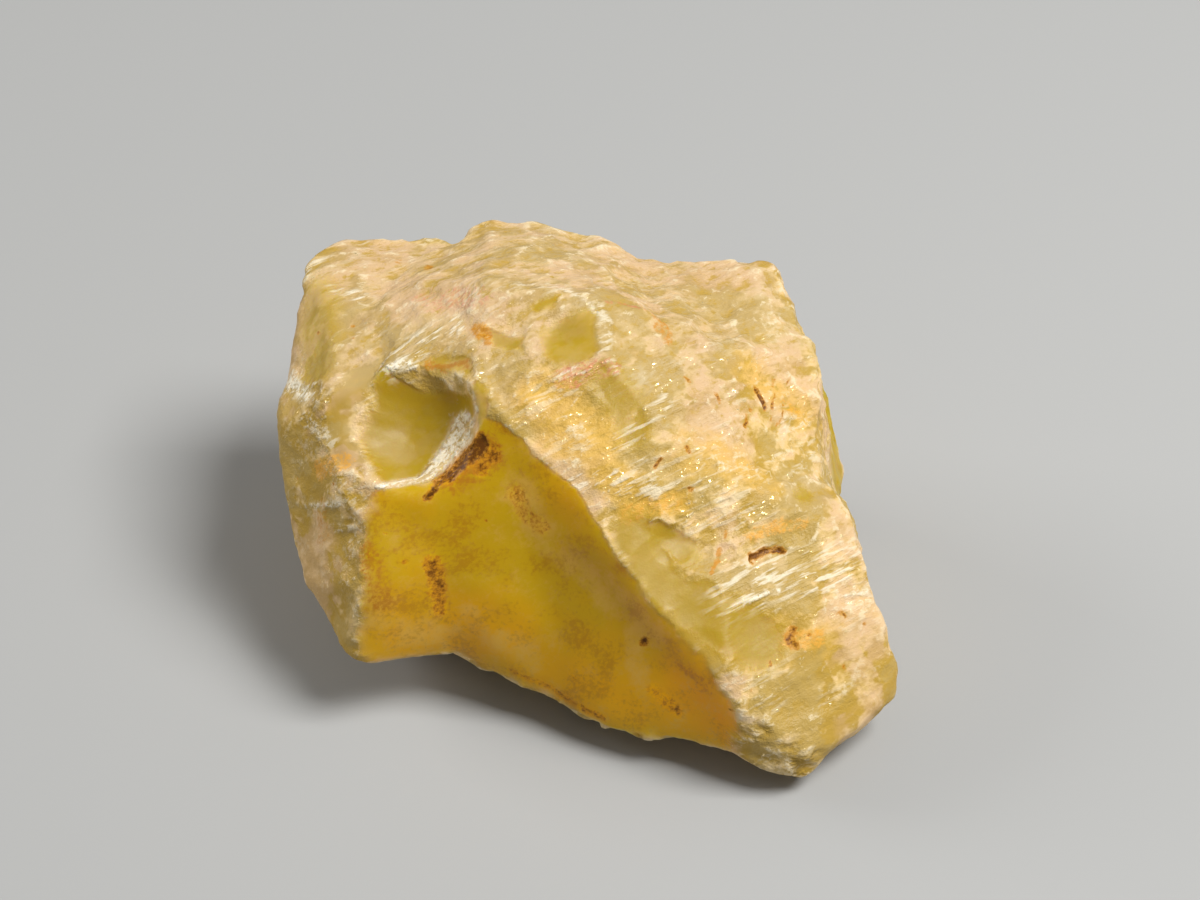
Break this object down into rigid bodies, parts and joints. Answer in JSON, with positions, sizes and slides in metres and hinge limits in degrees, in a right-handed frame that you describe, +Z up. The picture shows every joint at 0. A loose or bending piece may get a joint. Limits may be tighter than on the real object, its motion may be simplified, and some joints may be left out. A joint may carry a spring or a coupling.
{
  "type": "raw danburite",
  "caption": "One rough danburite lump, waxy yellow and partly see-through, with broken facets, a shell-shaped pocket and a flat underside to rest on.",
  "frame": {"origin": "under the middle of the stone's box, on the surface that it lies on", "axes": "+X along the long axis of the stone, towards its blunt tip; +Y away from the smooth front facet; +Z up"},
  "size_m": [0.0258, 0.0228, 0.0145],
  "materials": {
    "danburite": "broken and waxy: rough and pale on the top and right facets, smooth and golden on the front facet, partly see-through"
  },
  "bodies": {
    "root": {"danburite": "danburite"}
  },
  "joints": []
}
